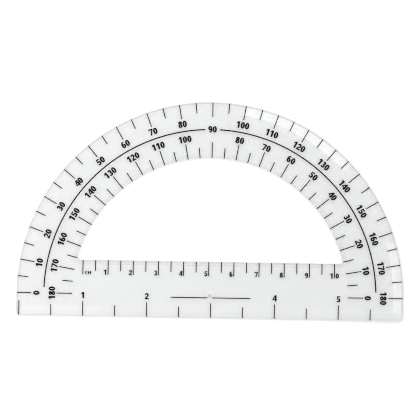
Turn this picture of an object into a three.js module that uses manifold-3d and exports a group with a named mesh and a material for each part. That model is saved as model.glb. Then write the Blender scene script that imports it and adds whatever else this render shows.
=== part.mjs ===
// A half-round school protractor: one clear moulded plate, with its scales printed in black on the upper face.
// Millimetres. The origin is the centre that every degree mark points to, on the underside of the plate.
// +X runs along the zero line to the right, +Y points to the 90 degree mark, and +Z points up off the paper.
import * as THREE from "three";
import { mergeVertices } from "three/addons/utils/BufferGeometryUtils.js";
import Module from "manifold-3d";

// ---------- driving dimensions ----------

const plate = {
  thickness: 1.6,
  rimRadius: 76.9, // the half-round outer edge
  skirt: 9.0, // from the zero line down to the straight edge
  cornerRadius: 1.2, // the two lower corners, seen from above
  bevelWidth: 4.0, // the shallow slope that runs round the outside of the upper face
  edgeHeight: 1.2, // what the slope leaves of the thickness at the outside
  edgeChamfer: 0.3, // the small 45 degree break at the top of the outer wall
  arcStep: 1.5, // degrees between the points of the rim
};

const window = {
  radius: 54.7, // the half-round inner edge
  floor: 13.4, // from the zero line up to the straight side of the window
  cornerRadius: 1.0,
  chamferWidth: 1.4,
  chamferHeight: 0.8,
  arcStep: 2.0,
};

const dimple = {
  radius: 2.1, // the shallow cone round the centre
  coneDepth: 0.2,
  pitRadius: 0.65, // the small pit that takes a compass or pencil point
  pitDepth: 1.0,
  pitFloorRadius: 0.2,
  sides: 32,
};

const ink = {
  thickness: 0.05,
  width: 0.39,
  edgeGap: 0.15, // the marks stop this far from the outer edge
  windowGap: 0.1, // and this far from the window's edge
};

const degreeMarks = {
  step: 10, // the numbered marks, from 0 to 180
  outerLength: 5.9, // from the rim inwards
  innerLength: 6.2, // from the window's edge outwards
};

const dividingArc = {
  radius: 66.0, // between the two rings of numbers
  width: 0.5,
  ends: [2, 87.5, 92.5, 178], // two arcs with a gap for the 90, in degrees from the left end
  step: 2,
};

const baseLine = {
  drop: 0.9, // the printed line lies this far below the zero line
  left: [-15.55, -0.95],
  right: [0.95, 16.15],
};

const centimetreScale = { start: -50.6, step: 10, last: 10, length: 5.7 };
const inchScale = { start: -75.85, step: 25.4, last: 5, length: 5.95 };

// ---------- solids ----------

const manifold = await Module();
manifold.setup();

const overrun = 1; // how far a cutting solid reaches past what it cuts

function solidOf(geometry) {
  const bare = geometry.index ? geometry.toNonIndexed() : geometry.clone();
  bare.deleteAttribute("normal");
  bare.deleteAttribute("uv");
  const merged = mergeVertices(bare, 1e-5);
  return new manifold.Manifold(
    new manifold.Mesh({
      numProp: 3,
      vertProperties: merged.attributes.position.array,
      triVerts: new Uint32Array(merged.index.array),
    }),
  );
}

function geometryOf(solid) {
  const mesh = solid.getMesh();
  const geometry = new THREE.BufferGeometry();
  geometry.setAttribute("position", new THREE.BufferAttribute(mesh.vertProperties, 3));
  geometry.setIndex(new THREE.BufferAttribute(mesh.triVerts, 1));
  geometry.computeVertexNormals();
  return geometry;
}

// A straight-sided prism of the shape, from bottom to top.
function prism(shape, bottom, top, curveSegments = 1) {
  const geometry = new THREE.ExtrudeGeometry(shape, {
    depth: top - bottom,
    bevelEnabled: false,
    curveSegments,
  });
  return solidOf(geometry.translate(0, 0, bottom));
}

// A prism whose upper end slopes inwards by slopeWidth over slopeHeight. Its lower end does too, below the plate.
function slopedPrism(shape, top, slopeWidth, slopeHeight) {
  const straight = top - slopeHeight + overrun;
  const geometry = new THREE.ExtrudeGeometry(shape, {
    depth: straight,
    bevelEnabled: true,
    bevelSize: slopeWidth,
    bevelOffset: -slopeWidth,
    bevelThickness: slopeHeight,
    bevelSegments: 1,
  });
  return solidOf(geometry.translate(0, 0, -overrun));
}

// ---------- the plate ----------

const radians = THREE.MathUtils.degToRad;

// Points on an arc about a centre, end points included, in steps of about stepDegrees.
function arcPoints(centreX, centreY, radius, fromDegrees, toDegrees, stepDegrees) {
  const count = Math.max(1, Math.round(Math.abs(toDegrees - fromDegrees) / stepDegrees));
  const points = [];
  for (let i = 0; i <= count; i++) {
    const angle = radians(fromDegrees + ((toDegrees - fromDegrees) * i) / count);
    points.push(
      new THREE.Vector2(centreX + radius * Math.cos(angle), centreY + radius * Math.sin(angle)),
    );
  }
  return points;
}

// The half disc with its skirt. A corner radius of 0 leaves the lower corners sharp.
function plateOutline(cornerRadius) {
  const x = plate.rimRadius - cornerRadius;
  const y = -plate.skirt + cornerRadius;
  const cornerStep = 15;
  const rim = arcPoints(0, 0, plate.rimRadius, 0, 180, plate.arcStep);
  if (cornerRadius === 0) {
    return new THREE.Shape([...rim, new THREE.Vector2(-x, y), new THREE.Vector2(x, y)]);
  }
  return new THREE.Shape([
    ...rim,
    ...arcPoints(-x, y, cornerRadius, 180, 270, cornerStep),
    ...arcPoints(x, y, cornerRadius, 270, 360, cornerStep),
  ]);
}

// The D-shaped window: the inner arc, closed by the ruler's upper edge, with small round corners.
function windowOutline() {
  const r = window.cornerRadius;
  const cornerY = window.floor + r;
  const cornerX = Math.sqrt((window.radius - r) ** 2 - cornerY ** 2);
  const tangent = THREE.MathUtils.radToDeg(Math.atan2(cornerY, cornerX));
  const cornerStep = 20;
  return new THREE.Shape([
    ...arcPoints(0, 0, window.radius, tangent, 180 - tangent, window.arcStep),
    ...arcPoints(-cornerX, cornerY, r, 180 - tangent, 270, cornerStep).slice(1),
    ...arcPoints(cornerX, cornerY, r, 270, 360 + tangent, cornerStep).slice(0, -1),
  ]);
}

// The window with its edge chamfer: straight walls, then a slope that widens up to the plate's upper face.
function windowCutter() {
  const shape = windowOutline();
  const walls = prism(shape, -overrun, plate.thickness + overrun);
  const chamfer = new THREE.ExtrudeGeometry(shape, {
    depth: overrun,
    bevelEnabled: true,
    bevelSize: window.chamferWidth,
    bevelThickness: window.chamferHeight,
    bevelSegments: 1,
  });
  return walls.add(solidOf(chamfer.translate(0, 0, plate.thickness)));
}

// The blind dimple at the centre: a shallow cone with a pit in the middle of it.
function dimpleCutter() {
  const top = plate.thickness;
  const coneSlope = (dimple.radius - dimple.pitRadius) / dimple.coneDepth;
  const profile = [
    new THREE.Vector2(0, top - dimple.pitDepth),
    new THREE.Vector2(dimple.pitFloorRadius, top - dimple.pitDepth),
    new THREE.Vector2(dimple.pitRadius, top - dimple.coneDepth),
    new THREE.Vector2(dimple.radius + coneSlope * overrun, top + overrun),
    new THREE.Vector2(0, top + overrun),
  ];
  const geometry = new THREE.LatheGeometry(profile, dimple.sides);
  return solidOf(geometry.rotateX(Math.PI / 2));
}

function plateSolid() {
  const slope = plate.thickness - plate.edgeHeight;
  const bevelled = slopedPrism(plateOutline(0), plate.thickness, plate.bevelWidth, slope);
  const breakHeight = slope + plate.edgeChamfer;
  const broken = slopedPrism(
    plateOutline(plate.cornerRadius),
    plate.thickness + 0.1,
    breakHeight + 0.1,
    breakHeight + 0.1,
  );
  const aboveZero = prism(plateOutline(0), 0, plate.thickness + overrun);
  return bevelled.intersect(broken).intersect(aboveZero).subtract(windowCutter()).subtract(dimpleCutter());
}

// ---------- the print ----------

const clearPlastic = new THREE.MeshStandardMaterial({
  color: 0xeef1f2,
  roughness: 0.08,
  metalness: 0,
  transparent: true,
  opacity: 0.3,
});
const blackInk = new THREE.MeshStandardMaterial({ color: 0x161616, roughness: 0.5, metalness: 0 });

const protractor = new THREE.Group();

function addPart(name, solid, material) {
  const mesh = new THREE.Mesh(geometryOf(solid), material);
  mesh.name = name;
  protractor.add(mesh);
}

const body = plateSolid();
// The film of ink that lies on the upper face and follows its slopes. Each mark is cut out of it.
const film = body.translate(0, 0, ink.thickness).subtract(body);

function addMark(name, shape) {
  const mark = prism(shape, 0, plate.thickness + overrun).intersect(film);
  addPart(name, mark, blackInk);
}

// A straight stroke of the ink's width between two points.
function stroke(x0, y0, x1, y1) {
  const along = new THREE.Vector2(x1 - x0, y1 - y0).normalize();
  const side = new THREE.Vector2(-along.y, along.x).multiplyScalar(ink.width / 2);
  return new THREE.Shape([
    new THREE.Vector2(x0 - side.x, y0 - side.y),
    new THREE.Vector2(x1 - side.x, y1 - side.y),
    new THREE.Vector2(x1 + side.x, y1 + side.y),
    new THREE.Vector2(x0 + side.x, y0 + side.y),
  ]);
}

// A stroke that points to the centre. The outer scale counts from the left end of the zero line.
function radialStroke(outerDegrees, from, to) {
  const angle = radians(180 - outerDegrees);
  const x = Math.cos(angle);
  const y = Math.sin(angle);
  return stroke(from * x, from * y, to * x, to * y);
}

function arcBand(fromOuterDegrees, toOuterDegrees) {
  const { radius, width, step } = dividingArc;
  const from = 180 - toOuterDegrees;
  const to = 180 - fromOuterDegrees;
  return new THREE.Shape([
    ...arcPoints(0, 0, radius + width / 2, from, to, step),
    ...arcPoints(0, 0, radius - width / 2, to, from, step),
  ]);
}

const numbered = (value, digits) => String(value).padStart(digits, "0");

function addDegreeMarks() {
  const rim = plate.rimRadius;
  const hole = window.radius;
  const { step, outerLength, innerLength } = degreeMarks;
  for (let degrees = 0; degrees <= 180; degrees += step) {
    const outer = radialStroke(degrees, rim - outerLength, rim - ink.edgeGap);
    addMark("outer_mark_" + numbered(degrees, 3), outer);
    // The inner scale counts the other way, from the right end.
    const inner = radialStroke(180 - degrees, hole + ink.windowGap, hole + innerLength);
    addMark("inner_mark_" + numbered(degrees, 3), inner);
  }
}

function addLengthMarks() {
  const top = window.floor - ink.windowGap;
  for (let i = 0; i <= centimetreScale.last; i++) {
    const x = centimetreScale.start + i * centimetreScale.step;
    addMark("centimetre_mark_" + numbered(i, 2), stroke(x, window.floor - centimetreScale.length, x, top));
  }
  const bottom = -plate.skirt + ink.edgeGap;
  for (let i = 0; i <= inchScale.last; i++) {
    const x = inchScale.start + i * inchScale.step;
    addMark("inch_mark_" + i, stroke(x, bottom, x, -plate.skirt + inchScale.length));
  }
}

function addLines() {
  const [leftFrom, leftTo, rightFrom, rightTo] = dividingArc.ends;
  addMark("dividing_arc_left", arcBand(leftFrom, leftTo));
  addMark("dividing_arc_right", arcBand(rightFrom, rightTo));
  const y = -baseLine.drop;
  addMark("base_line_left", stroke(baseLine.left[0], y, baseLine.left[1], y));
  addMark("base_line_right", stroke(baseLine.right[0], y, baseLine.right[1], y));
}

addPart("clear_plate", body, clearPlastic);
addDegreeMarks();
addLengthMarks();
addLines();

export default protractor;
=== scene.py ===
"""Looks for the half-round clear protractor: a moulded plate, its print, the camera and the studio light.

Metres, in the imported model's frame. The origin is the centre of the degree scales, on the plate's
underside. +X runs to the right along the zero line, +Y points to the 90 degree mark and +Z up off the paper.
"""

import math

import bmesh
import bpy
from mathutils import Matrix, Vector
from mathutils.geometry import delaunay_2d_cdt


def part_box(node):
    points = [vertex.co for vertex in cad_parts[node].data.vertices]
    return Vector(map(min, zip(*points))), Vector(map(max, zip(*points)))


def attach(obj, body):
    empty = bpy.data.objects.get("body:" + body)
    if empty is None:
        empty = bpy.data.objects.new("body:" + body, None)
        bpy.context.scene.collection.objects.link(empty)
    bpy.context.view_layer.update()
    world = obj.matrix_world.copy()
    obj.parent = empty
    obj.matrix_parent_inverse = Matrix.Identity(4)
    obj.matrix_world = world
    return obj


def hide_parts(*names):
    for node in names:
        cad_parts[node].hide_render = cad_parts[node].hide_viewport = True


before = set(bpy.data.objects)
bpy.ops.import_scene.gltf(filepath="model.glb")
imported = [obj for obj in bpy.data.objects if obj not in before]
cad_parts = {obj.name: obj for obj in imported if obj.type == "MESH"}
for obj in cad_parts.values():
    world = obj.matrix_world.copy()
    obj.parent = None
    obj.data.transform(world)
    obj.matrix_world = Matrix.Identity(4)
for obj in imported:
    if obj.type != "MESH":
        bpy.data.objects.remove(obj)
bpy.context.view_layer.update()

MM = 0.001

# ---------- sizes from the frame ----------

plate_low, plate_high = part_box("clear_plate")
RIM = plate_high.x  # radius of the half-round outer edge
SKIRT = -plate_low.y  # from the zero line down to the straight edge
THICK = plate_high.z
INK_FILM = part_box("dividing_arc_left")[1].z - THICK
INK_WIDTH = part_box("centimetre_mark_05")[1].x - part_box("centimetre_mark_05")[0].x
CM_START = (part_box("centimetre_mark_00")[0].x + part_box("centimetre_mark_00")[1].x) / 2
CM_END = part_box("centimetre_mark_05")[0].y
CM_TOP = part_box("centimetre_mark_05")[1].y
INCH_START = (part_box("inch_mark_0")[0].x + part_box("inch_mark_0")[1].x) / 2
INCH_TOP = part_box("inch_mark_0")[1].y
INCH_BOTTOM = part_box("inch_mark_3")[0].y
RIM_MARK_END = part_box("outer_mark_090")[1].y
WINDOW_MARK_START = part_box("inner_mark_090")[0].y

# ---------- sizes of the plate that no box gives ----------

CORNER = 1.2 * MM  # radius of the two lower corners
BEVEL = 4.0 * MM  # width of the slope round the outside of the upper face
EDGE_HEIGHT = 1.2 * MM  # what the slope leaves at the outside
EDGE_ROUND = 0.65 * MM  # the round between the outer wall and the slope
FOOT_ROUND = 0.12 * MM  # the small round along the underside's edges
WINDOW = 54.7 * MM  # radius of the window's arc
WINDOW_FLOOR = 13.4 * MM  # from the zero line up to the window's straight side
WINDOW_CORNER = 1.0 * MM  # radius of the window's two corners
CHAMFER = 1.4 * MM  # width of the slope round the window
CHAMFER_HEIGHT = 0.8 * MM
SHADED_BAND_START = 0.55 * MM  # how far from the window's edge the rougher band of painted shade round it starts
SOFT = 0.1 * MM  # half the width over which an edge between two slopes is rounded off
LAND = 3 * SOFT  # how far past the end of a slope its strips of faces reach
SHARP = math.radians(40)  # faces that meet at more than this are shaded with a hard edge between them

# The dimple and its parts are given by their radii.
DIMPLE = 2.1 * MM
DIMPLE_DEPTH = 0.2 * MM
PIT = 0.65 * MM
PIT_DEPTH = 1.0 * MM
PIT_FLOOR = 0.2 * MM
RING_START = 2.25 * MM  # the faint ring of painted shade round the dimple
RING_END = 2.85 * MM

# How many straight steps stand in for a round stretch.
RIM_STEPS = 360
WINDOW_STEPS = 300
CORNER_STEPS = 8
WINDOW_CORNER_STEPS = 10
DIMPLE_STEPS = 64
FOOT_ROUND_STEPS = 3
EDGE_ROUND_STEPS = 6

# ---------- the print ----------

OUTER_HALF_MARK = 4.3 * MM  # how far the marks at every odd 5 degrees reach in from the rim
INNER_HALF_MARK = 4.1 * MM  # length of the marks at every odd 5 degrees of the inner scale
CM_HALF_MARK = 4.28 * MM  # how far the half centimetre marks reach down from the window's straight side
INCH_HALF_MARK = 4.5 * MM  # how far the half inch marks reach up from the straight edge
STROKE_STEPS = 24  # the pieces along a mark that let it follow the plate's slopes
CM = 10.0 * MM
INCH = 25.4 * MM

DEGREE_NUMERAL = 2.6 * MM  # heights of the numerals
INCH_NUMERAL = 2.45 * MM
CM_NUMERAL = 2.05 * MM
UNIT_LABEL = 1.3 * MM
OUTER_NUMERAL_RADIUS = 68.95 * MM  # to the middle of the numerals
INNER_NUMERAL_RADIUS = 62.8 * MM
MIDDLE_NUMERAL_RADIUS = 66.1 * MM
CM_NUMERAL_GAP = 0.25 * MM  # between a centimetre mark and the numeral beside it
CM_NUMERAL_DROP = 0.1 * MM  # how far those numerals reach down past the marks
INCH_NUMERAL_GAP = 1.2 * MM  # between an inch mark and the numeral over it
LABEL_PLACES = (("C", 1.35 * MM), ("M", 2.4 * MM))  # each letter's middle, from the first centimetre mark
INK_SINK = 0.01 * MM  # how far the print is set into the plate, so that no gap shows under it

# ---------- the camera, the board and the light ----------

PICTURE_WIDTH = 164.94 * MM  # what the picture takes in at the height of the plate's upper face
CAMERA_HEIGHT = 0.75
CAMERA_SHIFT = (-1.5 * MM, 1.05 * MM)  # from over the middle of the plate
CAMERA_TURN = math.radians(0.95)
SENSOR_MM = 36.0

BOARD_HALF_WIDTH = 3.0
BOARD_GAP = 0.15 * MM  # between the board and the underside of the plate
BOARD_GLOW = 0.45  # the board's own glow at the origin
BOARD_GLOW_LEAN = (-0.7, 0.36, 0.0)  # change of the glow per metre
BOARD_GLOW_REACH = 0.1  # the most that the glow can differ from its value at the origin

DOME_STRENGTH = 0.815
# Brightness of the dome against its strength, by the sine of the height over the horizon.
DOME_STOPS = ((0.0, 0.35), (0.45, 0.6), (0.7, 1.15), (0.96, 0.9), (0.985, 0.1), (1.0, 0.1))
DOME_LEAN = (0.0, 0.6, 0.0)  # how much brighter the dome is towards +Y
# The lamps give the shine on the bevel at the upper right, a fainter one at its right end, the glint in the
# dimple and a faint shine at the lower left. Each is small and nearly overhead, so that it shows only on the
# slope it is meant for. A row holds a name, a place, the point aimed at, a width, a depth and a brightness.
SOFTBOXES = (
    ("bevel_lamp", (0.155, 0.245, 0.9), (0.04, 0.06, 0), 0.22, 0.12, 2.9),
    ("end_lamp", (0.345, 0.0, 0.9), (0.075, 0.01, 0), 0.12, 0.12, 2.0),
    ("dimple_lamp", (0.0, -0.305, 0.9), (0, 0, 0), 0.2, 0.06, 3.6),
    ("foot_lamp", (-0.134, -0.241, 0.9), (-0.062, -0.007, 0), 0.08, 0.1, 0.9),
)


# ---------- outlines ----------

def arc(centre, radius, start, end, steps):
    """Points on an arc, both ends included. Angles are in degrees."""
    points = []
    for i in range(steps + 1):
        angle = math.radians(start + (end - start) * i / steps)
        points.append((centre[0] + radius * math.cos(angle), centre[1] + radius * math.sin(angle)))
    return points


def plate_outline(inset):
    """The outer edge moved inwards by inset, anticlockwise from the right end of the zero line."""
    least = 0.02 * MM  # the corner never gets sharper than this
    corner = max(CORNER - inset, least)
    x = RIM - inset - corner
    y = -SKIRT + inset + corner
    return (
        arc((0, 0), RIM - inset, 0, 180, RIM_STEPS)
        + arc((-x, y), corner, 180, 270, CORNER_STEPS)
        + arc((x, y), corner, 270, 360, CORNER_STEPS)
    )


def window_outline(outset):
    """The window's edge moved out into the plate by outset, anticlockwise."""
    corner_y = WINDOW_FLOOR + WINDOW_CORNER
    corner_x = math.sqrt((WINDOW - WINDOW_CORNER) ** 2 - corner_y ** 2)
    tangent = math.degrees(math.atan2(corner_y, corner_x))  # where the arc runs into the round corner
    corner = WINDOW_CORNER + outset
    return (
        arc((0, 0), WINDOW + outset, tangent, 180 - tangent, WINDOW_STEPS)
        + arc((-corner_x, corner_y), corner, 180 - tangent, 270, WINDOW_CORNER_STEPS)[1:]
        + arc((corner_x, corner_y), corner, 270, 360 + tangent, WINDOW_CORNER_STEPS)[:-1]
    )


def surface(x, y):
    """Height of the plate's upper face over a point on it."""
    radius = math.hypot(x, y)
    side = RIM - (radius if y > 0 else abs(x))
    to_edge = min(side, y + SKIRT)
    bevel = (THICK - EDGE_HEIGHT) * max(0.0, 1 - to_edge / BEVEL)
    short = max(0.0, EDGE_ROUND - to_edge)  # how far the point has got into the round at the edge
    bevel += EDGE_ROUND - math.sqrt(EDGE_ROUND ** 2 - short ** 2)
    from_window = max(radius - WINDOW, WINDOW_FLOOR - y)
    chamfer = CHAMFER_HEIGHT * max(0.0, 1 - from_window / CHAMFER)
    return THICK - max(bevel, chamfer)


# ---------- materials ----------

def new_material(name):
    material = bpy.data.materials.new(name)
    material.use_nodes = True
    tree = material.node_tree
    return material, tree, tree.nodes["Principled BSDF"]


def noise(tree, coordinates, scale, detail, roughness=0.5):
    node = tree.nodes.new("ShaderNodeTexNoise")
    node.inputs["Scale"].default_value = scale
    node.inputs["Detail"].default_value = detail
    node.inputs["Roughness"].default_value = roughness
    tree.links.new(coordinates, node.inputs["Vector"])
    return node.outputs["Fac"]


def stretched(tree, coordinates, scale, turn):
    """Coordinates squeezed along one direction, so that a noise on them draws out into hairlines."""
    node = tree.nodes.new("ShaderNodeMapping")
    node.inputs["Scale"].default_value = scale
    node.inputs["Rotation"].default_value = (0, 0, math.radians(turn))
    tree.links.new(coordinates, node.inputs["Vector"])
    return node.outputs["Vector"]


def ramp(tree, factor, low, high, from_value, to_value):
    """A plain number that goes from from_value to to_value as factor goes from low to high."""
    node = tree.nodes.new("ShaderNodeMapRange")
    node.inputs["From Min"].default_value = low
    node.inputs["From Max"].default_value = high
    node.inputs["To Min"].default_value = from_value
    node.inputs["To Max"].default_value = to_value
    tree.links.new(factor, node.inputs["Value"])
    return node.outputs["Result"]


def blend_colours(tree, factor, first, second):
    node = tree.nodes.new("ShaderNodeMix")
    node.data_type = "RGBA"
    node.inputs["A"].default_value = (*first, 1)
    node.inputs["B"].default_value = (*second, 1)
    tree.links.new(factor, node.inputs["Factor"])
    return node.outputs["Result"]


def add_bump(tree, shader, height, distance, strength):
    node = tree.nodes.new("ShaderNodeBump")
    node.inputs["Distance"].default_value = distance
    node.inputs["Strength"].default_value = strength
    tree.links.new(height, node.inputs["Height"])
    tree.links.new(node.outputs["Normal"], shader.inputs["Normal"])


def clear_plastic(name, shade, roughest):
    """Clear moulded plastic: a faint tint, the slow ripple of the moulding and a few handling hairlines.

    shade darkens the tint, which paints shade where it is below 1, and roughest is the roughness of the
    dullest spots between the hairlines.
    """
    material, tree, shader = new_material(name)
    place = tree.nodes.new("ShaderNodeTexCoord").outputs["Object"]
    shader.inputs["IOR"].default_value = 1.49
    shader.inputs["Transmission Weight"].default_value = 1.0

    cloud = noise(tree, place, scale=35.0, detail=2.0)
    deep = [shade * channel for channel in (0.831, 0.838, 0.840)]
    pale = [shade * channel for channel in (0.849, 0.854, 0.854)]
    tree.links.new(blend_colours(tree, cloud, deep, pale), shader.inputs["Base Color"])

    along_hairs = stretched(tree, place, scale=(900.0, 14.0, 14.0), turn=32)
    hairs = noise(tree, along_hairs, scale=1.0, detail=2.0)
    hairlines = ramp(tree, hairs, 0.68, 0.74, 0.0, 0.12)
    spots = noise(tree, place, scale=60.0, detail=3.0)
    smudge = ramp(tree, spots, 0.35, 0.75, 0.3 * roughest, roughest)
    total = tree.nodes.new("ShaderNodeMath")
    total.operation = "ADD"
    tree.links.new(hairlines, total.inputs[0])
    tree.links.new(smudge, total.inputs[1])
    tree.links.new(total.outputs[0], shader.inputs["Roughness"])

    ripple = noise(tree, place, scale=45.0, detail=1.0)
    add_bump(tree, shader, ripple, distance=0.02 * MM, strength=0.35)
    return material


def black_ink():
    """Printed ink: nearly black, thinner in places, with the faint tooth of a dried film."""
    material, tree, shader = new_material("black_ink")
    place = tree.nodes.new("ShaderNodeTexCoord").outputs["Object"]
    shader.inputs["Specular IOR Level"].default_value = 0.15

    density = noise(tree, place, scale=900.0, detail=3.0, roughness=0.6)
    colour = blend_colours(tree, density, (0.002, 0.002, 0.002), (0.009, 0.009, 0.010))
    tree.links.new(colour, shader.inputs["Base Color"])
    tree.links.new(ramp(tree, density, 0.3, 0.7, 0.42, 0.62), shader.inputs["Roughness"])
    tooth = noise(tree, place, scale=4000.0, detail=2.0)
    add_bump(tree, shader, tooth, distance=0.004 * MM, strength=0.6)
    return material


def white_board():
    """The pale floor: white board with a barely visible grain, lit a little from behind."""
    material, tree, shader = new_material("white_board")
    place = tree.nodes.new("ShaderNodeTexCoord").outputs["Object"]
    shader.inputs["Specular IOR Level"].default_value = 0.1
    shader.inputs["Roughness"].default_value = 0.9
    grain = noise(tree, place, scale=700.0, detail=2.0)
    colour = blend_colours(tree, grain, (0.9, 0.9, 0.9), (0.92, 0.92, 0.92))
    tree.links.new(colour, shader.inputs["Base Color"])

    across = tree.nodes.new("ShaderNodeVectorMath")
    across.operation = "DOT_PRODUCT"
    across.inputs[1].default_value = BOARD_GLOW_LEAN
    tree.links.new(place, across.inputs[0])
    reach = BOARD_GLOW_REACH
    glow = ramp(tree, across.outputs["Value"], -reach, reach, BOARD_GLOW - reach, BOARD_GLOW + reach)
    tree.links.new(glow, shader.inputs["Emission Strength"])
    shader.inputs["Emission Color"].default_value = (1, 1, 1, 1)
    return material


PLASTIC = clear_plastic("clear_plastic", 1.0, 0.05)
# Rougher plastic with a darker tint: painted shade in the band round the window.
DULL_SHADED_PLASTIC = clear_plastic("dull_plastic_painted_shade", 0.865, 0.35)
# Rough plastic with the darkest tint: painted shade in the pit.
SHADED_PIT_PLASTIC = clear_plastic("pit_painted_shade", 0.8, 0.5)
# Slightly rougher plastic with a darker tint: painted shade in a ring round the dimple.
SHADED_RING_PLASTIC = clear_plastic("ring_painted_shade", 0.94, 0.2)
PLATE_MATERIALS = (PLASTIC, DULL_SHADED_PLASTIC, SHADED_PIT_PLASTIC, SHADED_RING_PLASTIC)  # the plate's material slots, in this order
INK = black_ink()


def add_object(name, mesh_source, material):
    """A mesh object from a bmesh, with outward faces."""
    bmesh.ops.recalc_face_normals(mesh_source, faces=mesh_source.faces)
    mesh = bpy.data.meshes.new(name)
    mesh_source.to_mesh(mesh)
    mesh_source.free()
    mesh.materials.append(material)
    piece = bpy.data.objects.new(name, mesh)
    bpy.context.scene.collection.objects.link(piece)
    return piece


def add_print(name, mesh_source):
    piece = add_object(name, mesh_source, INK)
    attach(piece, "root")


# ---------- the plate ----------

def quarter(steps):
    """Angles from 0 to a quarter turn."""
    return [math.pi / 2 * i / steps for i in range(steps + 1)]


def foot_profile():
    """(offset, height) round the lower edge of a wall, from the underside up."""
    size = FOOT_ROUND
    return [(size - size * math.sin(a), size - size * math.cos(a)) for a in quarter(FOOT_ROUND_STEPS)]


def outer_profile():
    """(inset, height) up the outer edge: foot, wall, top round, bevel, and soft break to the flat face."""
    size = EDGE_ROUND
    slope = (THICK - EDGE_HEIGHT) / BEVEL
    wall_top = EDGE_HEIGHT - size + slope * size
    angles = quarter(EDGE_ROUND_STEPS)[:-1]
    head = [(size - size * math.cos(a), wall_top + size * math.sin(a)) for a in angles]
    face = [
        (BEVEL - SOFT, THICK - slope * SOFT),
        (BEVEL, THICK - slope * SOFT / 4),
        (BEVEL + SOFT, THICK),
        (BEVEL + LAND, THICK),
    ]
    return foot_profile() + head + face


def window_profile():
    """(outset, height) up the window's edge: foot, wall, rounded start of the chamfer, and the flat face."""
    slope = CHAMFER_HEIGHT / CHAMFER
    wall_top = THICK - CHAMFER_HEIGHT
    lip = [
        (0.0, wall_top - SOFT),
        (0.2 * SOFT, wall_top - 0.1 * SOFT),
        (SOFT, wall_top + slope * SOFT),
    ]
    face = [
        (SHADED_BAND_START, wall_top + slope * SHADED_BAND_START),
        (CHAMFER - SOFT, THICK - slope * SOFT),
        (CHAMFER, THICK - slope * SOFT / 4),
        (CHAMFER + SOFT, THICK),
        (CHAMFER + LAND, THICK),
    ]
    return foot_profile() + lip + face


def dimple_profile():
    """(radius, height) down the dimple, from the flat face to the pit's floor."""
    slope = DIMPLE_DEPTH / (DIMPLE - PIT)
    return [
        (RING_END, THICK),
        (RING_START, THICK),
        (DIMPLE + SOFT, THICK),
        (DIMPLE, THICK - slope * SOFT / 4),
        (DIMPLE - SOFT, THICK - slope * SOFT),
        (PIT + SOFT, THICK - DIMPLE_DEPTH + slope * SOFT),
        (PIT, THICK - DIMPLE_DEPTH - SOFT / 4),
        (PIT_FLOOR + SOFT, THICK - PIT_DEPTH + SOFT),
        (PIT_FLOOR, THICK - PIT_DEPTH),
    ]


def add_rings(mesh_source, outline, profile):
    """Skins a stack of closed outlines, one for each step of the profile, and returns the vertex rings."""
    rings = []
    for offset, height in profile:
        ring = [mesh_source.verts.new((x, y, height)) for x, y in outline(offset)]
        rings.append(ring)
    for lower, upper in zip(rings, rings[1:]):
        for i in range(len(lower)):
            j = (i + 1) % len(lower)
            mesh_source.faces.new((lower[i], lower[j], upper[j], upper[i]))
    return rings


def ring_edges(mesh_source, ring):
    pairs = zip(ring, ring[1:] + ring[:1])
    return [mesh_source.edges.get(pair) or mesh_source.edges.new(pair) for pair in pairs]


def finish_of(point):
    """The plastic at a point: rougher with painted shade in a band round the window, with painted shade in a
    ring round the dimple, rough with painted shade in the pit.
    """
    radius = math.hypot(point.x, point.y)
    from_window = max(radius - WINDOW, WINDOW_FLOOR - point.y)
    if point.z > THICK - CHAMFER_HEIGHT and SHADED_BAND_START < from_window < CHAMFER + LAND:
        return DULL_SHADED_PLASTIC
    if point.z > THICK - SOFT and RING_START < radius < RING_END:
        return SHADED_RING_PLASTIC
    if point.z > THICK - PIT_DEPTH - SOFT and radius < PIT:
        return SHADED_PIT_PLASTIC
    return PLASTIC


def even_normals(mesh):
    """Smooths the shading. Wide faces outweigh the narrow ones beside them, so that the flats stay flat."""
    around = [[] for _ in mesh.vertices]
    for face in mesh.polygons:
        for vertex in face.vertices:
            around[vertex].append(face)
    least = math.cos(SHARP)
    normals = []
    for face in mesh.polygons:
        for vertex in face.vertices:
            total = Vector()
            for other in around[vertex]:
                if other.normal.dot(face.normal) > least:
                    total += other.normal * (other.area / face.area) ** 2
            normals.append(total.normalized())
    mesh.normals_split_custom_set(normals)


def dimple_outline(radius):
    return arc((0, 0), radius, 0, 360, DIMPLE_STEPS)[:-1]


def moulded_plate():
    """The plate's skin: three stacks of rings joined by the flat upper face and the flat underside."""
    source = bmesh.new()
    outer = add_rings(source, plate_outline, outer_profile())
    inner = add_rings(source, window_outline, window_profile())
    dimple = add_rings(source, dimple_outline, dimple_profile())
    source.faces.new(dimple[-1])
    upper = [edge for ring in (outer[-1], inner[-1], dimple[0]) for edge in ring_edges(source, ring)]
    lower = [edge for ring in (outer[0], inner[0]) for edge in ring_edges(source, ring)]
    for edges in (upper, lower):
        bmesh.ops.triangle_fill(source, edges=edges, use_beauty=True, use_dissolve=False)
    plate = add_object("moulded_plate", source, PLASTIC)
    for slot_material in PLATE_MATERIALS[1:]:
        plate.data.materials.append(slot_material)
    for face in plate.data.polygons:
        face.material_index = PLATE_MATERIALS.index(finish_of(face.center))
    plate.data.shade_smooth()
    even_normals(plate.data)
    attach(plate, "root")
    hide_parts("clear_plate")


# ---------- strokes that follow the plate ----------

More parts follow.
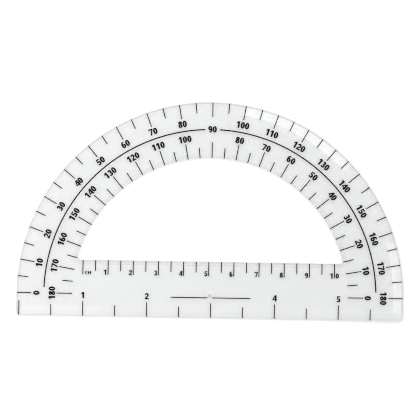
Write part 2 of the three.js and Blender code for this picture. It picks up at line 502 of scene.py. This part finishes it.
def add_stroke(source, start, end):
    """A flat bar of ink from start to end that lies on the plate and follows its slopes."""
    start, end = Vector(start), Vector(end)
    along = (end - start).normalized()
    side = Vector((-along.y, along.x)) * INK_WIDTH / 2
    rows = []
    for i in range(STROKE_STEPS + 1):
        middle = start.lerp(end, i / STROKE_STEPS)
        low, high = [], []
        for corner in (middle - side, middle + side):
            height = surface(corner.x, corner.y)
            low.append(source.verts.new((corner.x, corner.y, height - INK_SINK)))
            high.append(source.verts.new((corner.x, corner.y, height + INK_FILM)))
        rows.append((low[0], low[1], high[1], high[0]))
    for first, second in zip(rows, rows[1:]):
        for k in range(4):
            m = (k + 1) % 4
            source.faces.new((first[k], first[m], second[m], second[k]))
    source.faces.new(rows[0])
    source.faces.new(rows[-1])


def outward(outer_degrees):
    """Unit vector from the centre to a degree of the outer scale, which counts from the left."""
    angle = math.radians(180 - outer_degrees)
    return Vector((math.cos(angle), math.sin(angle)))


def degree_half_marks():
    outer, inner = bmesh.new(), bmesh.new()
    for degrees in range(5, 180, 10):
        way = outward(degrees)
        add_stroke(outer, way * (RIM - OUTER_HALF_MARK), way * RIM_MARK_END)
        add_stroke(inner, way * WINDOW_MARK_START, way * (WINDOW_MARK_START + INNER_HALF_MARK))
    add_print("outer_half_marks", outer)
    add_print("inner_half_marks", inner)


def length_half_marks():
    centimetre, inch = bmesh.new(), bmesh.new()
    for i in range(10):
        x = CM_START + (i + 0.5) * CM
        add_stroke(centimetre, (x, WINDOW_FLOOR - CM_HALF_MARK), (x, CM_TOP))
    for i in range(6):
        x = INCH_START + (i + 0.5) * INCH
        add_stroke(inch, (x, INCH_BOTTOM), (x, -SKIRT + INCH_HALF_MARK))
    add_print("centimetre_half_marks", centimetre)
    add_print("inch_half_marks", inch)


# ---------- numerals ----------
# Each glyph is drawn in a box one unit high. STEM and BAR are the widths of upright and level strokes.

STEM = 0.275
BAR = 0.2
GLYPH_WIDTH = 0.65
ADVANCE = 0.68  # from the left side of one glyph to the left side of the next
UP_THE_PLATE = (0, 1)


def ellipse_band(centre, radii, start=0, end=360):
    """Four-sided faces that fill the band inside an ellipse, from one angle to another in degrees."""
    degrees_a_step = 12
    steps = max(4, round(abs(end - start) / degrees_a_step))
    faces = []
    for i in range(steps):
        face = []
        for angle, inside in ((i, 0), (i + 1, 0), (i + 1, 1), (i, 1)):
            turn = math.radians(start + (end - start) * angle / steps)
            x = centre[0] + (radii[0] - inside * STEM) * math.cos(turn)
            y = centre[1] + (radii[1] - inside * BAR) * math.sin(turn)
            face.append((x, y))
        faces.append(face)
    return faces


def box_face(left, bottom, right, top):
    return [[(left, bottom), (right, bottom), (right, top), (left, top)]]


def half_turn(faces):
    """The same faces turned upside down within the glyph's box."""
    return [[(GLYPH_WIDTH - x, 1 - y) for x, y in face] for face in faces]


def glyph_faces(character):
    wide = GLYPH_WIDTH
    mid = wide / 2
    if character == "0":
        return ellipse_band((mid, 0.5), (mid, 0.5))
    if character == "1":
        flag = [(0.26, 1.0), (0.06, 0.80), (0.06, 0.62), (0.26, 0.72)]
        return box_face(0.26, 0, 0.26 + STEM, 1) + [flag]
    if character == "2":
        bowl = ellipse_band((mid, 0.69), (mid - 0.01, 0.31), 175, -35)
        neck = [(0.59, 0.53), (0.42, 0.62), (0.02, 0.17), (0.28, 0.17)]
        return bowl + [neck] + box_face(0.02, 0, wide, BAR)
    if character == "3":
        upper = ellipse_band((mid - 0.01, 0.735), (mid - 0.04, 0.265), 165, -90)
        lower = ellipse_band((mid, 0.29), (mid, 0.29), 90, -165)
        return upper + lower + box_face(0.23, 0.44, mid, 0.58)
    if character == "4":
        slant = [(0.0, 0.22), (0.0, 0.38), (0.38, 1.0), (0.50, 1.0), (0.50, 0.86), (0.14, 0.30)]
        return box_face(0.37, 0, 0.37 + STEM, 1) + [slant] + box_face(0.0, 0.21, 0.68, 0.37)
    if character == "5":
        bowl = ellipse_band((mid - 0.01, 0.33), (mid, 0.33), 128, -165)
        neck = [(0.05, 0.44), (0.22, 0.50), (0.27, 0.86), (0.11, 0.86)]
        return bowl + [neck] + box_face(0.11, 1 - BAR, 0.60, 1)
    if character == "6":
        back = ellipse_band((mid, 0.5), (mid, 0.5), 55, 200)
        return ellipse_band((mid, 0.325), (mid, 0.325)) + back
    if character == "7":
        leg = [(0.13, 0.0), (0.35, 0.0), (0.64, 0.84), (0.42, 0.84)]
        return box_face(0.0, 1 - BAR, wide, 1) + [leg]
    if character == "8":
        return ellipse_band((mid, 0.745), (mid - 0.03, 0.255)) + ellipse_band((mid, 0.28), (mid, 0.28))
    if character == "9":
        return half_turn(glyph_faces("6"))
    if character == "C":
        return ellipse_band((0.38, 0.5), (0.38, 0.5), 38, 322)
    return capital_m()


def capital_m():
    left = box_face(0, 0, STEM, 1)
    right = box_face(0.75, 0, 0.75 + STEM, 1)
    down = [(0.0, 1.0), (0.24, 1.0), (0.56, 0.15), (0.40, 0.15)]
    up = [(0.72, 1.0), (0.96, 1.0), (0.56, 0.15), (0.40, 0.15)]
    return left + right + [down, up]


glyph_store = {}


def glyph(character):
    """The glyph's corners, triangles and rim, with overlapping strokes joined into one flat shape."""
    if character not in glyph_store:
        corners, faces = [], []
        for face in glyph_faces(character):
            area = sum(a[0] * b[1] - b[0] * a[1] for a, b in zip(face, face[1:] + face[:1]))
            ordered = face if area > 0 else face[::-1]
            faces.append(list(range(len(corners), len(corners) + len(face))))
            corners += [Vector(corner) for corner in ordered]
        inside_only, nearest = 1, 1e-5
        filled = delaunay_2d_cdt(corners, [], faces, inside_only, nearest)
        points, _, triangles, _, _, sources = filled
        kept = [list(t) for t, source in zip(triangles, sources) if source]
        sides = {(t[k], t[(k + 1) % 3]) for t in kept for k in range(3)}
        rim = [(a, b) for a, b in sides if (b, a) not in sides]
        glyph_store[character] = (points, kept, sorted(rim))
    return glyph_store[character]


def add_glyph(source, character, height, place):
    """Adds a glyph as a thin solid. place turns glyph units into a point on the plate."""
    points, triangles, rim = glyph(character)
    used = sorted({corner for triangle in triangles for corner in triangle})
    low, high = {}, {}
    for index in used:
        spot = place @ Vector((points[index].x * height, points[index].y * height, 0))
        top = surface(spot.x, spot.y)
        low[index] = source.verts.new((spot.x, spot.y, top - INK_SINK))
        high[index] = source.verts.new((spot.x, spot.y, top + INK_FILM))
    for a, b, c in triangles:
        source.faces.new((high[a], high[b], high[c]))
        source.faces.new((low[c], low[b], low[a]))
    for a, b in rim:
        source.faces.new((low[a], low[b], high[b], high[a]))


def add_number(source, text, height, middle, up):
    """Adds a number whose middle is at a point, with its top towards up."""
    up = Vector(up).normalized()
    right = Vector((up.y, -up.x))
    length = (ADVANCE * (len(text) - 1) + GLYPH_WIDTH) * height
    corner = Vector(middle) - right * length / 2 - up * height / 2
    for index, character in enumerate(text):
        start = corner + right * index * ADVANCE * height
        turn = Matrix(((right.x, up.x, 0, 0), (right.y, up.y, 0, 0), (0, 0, 1, 0), (0, 0, 0, 1)))
        place = Matrix.Translation(start.to_3d()) @ turn
        add_glyph(source, character, height, place)


def degree_numerals():
    """Both rings of numbers, which count opposite ways round and share the 90 between them."""
    outer, inner, middle = bmesh.new(), bmesh.new(), bmesh.new()
    for degrees in range(0, 181, 10):
        way = outward(degrees)
        if degrees == 90:
            continue
        add_number(outer, str(degrees), DEGREE_NUMERAL, way * OUTER_NUMERAL_RADIUS, way)
        add_number(inner, str(180 - degrees), DEGREE_NUMERAL, way * INNER_NUMERAL_RADIUS, way)
    add_number(middle, "90", DEGREE_NUMERAL, (0, MIDDLE_NUMERAL_RADIUS), UP_THE_PLATE)
    add_print("outer_numerals", outer)
    add_print("inner_numerals", inner)
    add_print("middle_numeral", middle)


def centimetre_numerals():
    """Each number stands left of its mark, except the 10, which has its mark between its two digits."""
    source = bmesh.new()
    beside = (INK_WIDTH + GLYPH_WIDTH * CM_NUMERAL) / 2 + CM_NUMERAL_GAP
    row = CM_END + CM_NUMERAL / 2 - CM_NUMERAL_DROP
    for i in range(1, 10):
        add_number(source, str(i), CM_NUMERAL, (CM_START + i * CM - beside, row), UP_THE_PLATE)
    last = CM_START + 10 * CM
    add_number(source, "1", CM_NUMERAL, (last - beside, row), UP_THE_PLATE)
    add_number(source, "0", CM_NUMERAL, (last + beside, row), UP_THE_PLATE)
    add_print("centimetre_numerals", source)


def unit_label():
    source = bmesh.new()
    for letter, along in LABEL_PLACES:
        add_number(source, letter, UNIT_LABEL, (CM_START + along, CM_END + UNIT_LABEL / 2), UP_THE_PLATE)
    add_print("unit_label", source)


def inch_numerals():
    """The numbers over the inch marks. There is none at 3, where the base line is."""
    source = bmesh.new()
    row = INCH_TOP + INCH_NUMERAL_GAP + INCH_NUMERAL / 2
    for i in (1, 2, 4, 5):
        add_number(source, str(i), INCH_NUMERAL, (INCH_START + i * INCH, row), UP_THE_PLATE)
    add_print("inch_numerals", source)


# ---------- the shot ----------

def add_camera():
    """Straight above the plate, turned a degree, so that the right end sits a little lower in the picture."""
    data = bpy.data.cameras.new("camera")
    data.sensor_width = SENSOR_MM
    data.lens = data.sensor_width * (CAMERA_HEIGHT - THICK) / PICTURE_WIDTH
    camera = bpy.data.objects.new("camera", data)
    middle_x = (plate_low.x + plate_high.x) / 2 + CAMERA_SHIFT[0]
    middle_y = (plate_low.y + plate_high.y) / 2 + CAMERA_SHIFT[1]
    camera.location = (middle_x, middle_y, CAMERA_HEIGHT)
    camera.rotation_euler = (0, 0, CAMERA_TURN)
    bpy.context.scene.collection.objects.link(camera)
    bpy.context.scene.camera = camera


def add_floor():
    source = bmesh.new()
    bmesh.ops.create_grid(source, x_segments=4, y_segments=4, size=BOARD_HALF_WIDTH)
    floor = add_object("floor", source, white_board())
    floor.location.z = -BOARD_GAP


def grey(brightness):
    return (brightness, brightness, brightness, 1)


def add_world():
    """A bright studio dome, dimmer down at the horizon, with a dark hole overhead where the camera hangs."""
    world = bpy.data.worlds.new("studio")
    bpy.context.scene.world = world
    world.use_nodes = True
    tree = world.node_tree
    background = tree.nodes["Background"]
    direction = tree.nodes.new("ShaderNodeTexCoord").outputs["Generated"]
    height = tree.nodes.new("ShaderNodeSeparateXYZ")
    tree.links.new(direction, height.inputs["Vector"])
    dome = tree.nodes.new("ShaderNodeValToRGB")
    tree.links.new(height.outputs["Z"], dome.inputs["Fac"])
    stops = dome.color_ramp.elements
    for stop, (sine, brightness) in zip(stops, (DOME_STOPS[0], DOME_STOPS[-1])):
        stop.position, stop.color = sine, grey(brightness)
    for sine, brightness in DOME_STOPS[1:-1]:
        stops.new(sine).color = grey(brightness)
    tree.links.new(dome.outputs["Color"], background.inputs["Color"])

    lean = tree.nodes.new("ShaderNodeVectorMath")
    lean.operation = "DOT_PRODUCT"
    lean.inputs[1].default_value = DOME_LEAN
    tree.links.new(direction, lean.inputs[0])
    strength = ramp(tree, lean.outputs["Value"], -1.0, 1.0, 0.0, 2 * DOME_STRENGTH)
    tree.links.new(strength, background.inputs["Strength"])


def aim(lamp, target):
    """Turns a lamp's -Z axis, which it shines along, to a point."""
    way = Vector(target) - lamp.location
    lamp.rotation_euler = way.to_track_quat("-Z", "Y").to_euler()


def add_softbox(name, place, target, width, depth, brightness):
    """A rectangular lamp whose face has the same brightness whatever its size."""
    data = bpy.data.lights.new(name, "AREA")
    data.shape = "RECTANGLE"
    data.size = width
    data.size_y = depth
    data.energy = brightness * math.pi * width * depth
    lamp = bpy.data.objects.new(name, data)
    lamp.location = place
    aim(lamp, target)
    bpy.context.scene.collection.objects.link(lamp)


def set_look():
    scene = bpy.context.scene
    scene.view_settings.view_transform = "Standard"
    # Light has to come through the clear plate as sharp as it went in, or the floor under it turns grey.
    scene.cycles.blur_glossy = 0.0
    # A slightly narrower pixel filter than usual keeps the fine print crisp.
    scene.cycles.filter_width = 1.1


add_camera()
moulded_plate()
degree_half_marks()
length_half_marks()
degree_numerals()
centimetre_numerals()
unit_label()
inch_numerals()
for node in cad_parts.values():
    node.data.materials.clear()
    node.data.materials.append(PLASTIC if node.name == "clear_plate" else INK)
add_floor()
add_world()
for softbox in SOFTBOXES:
    add_softbox(*softbox)
set_look()
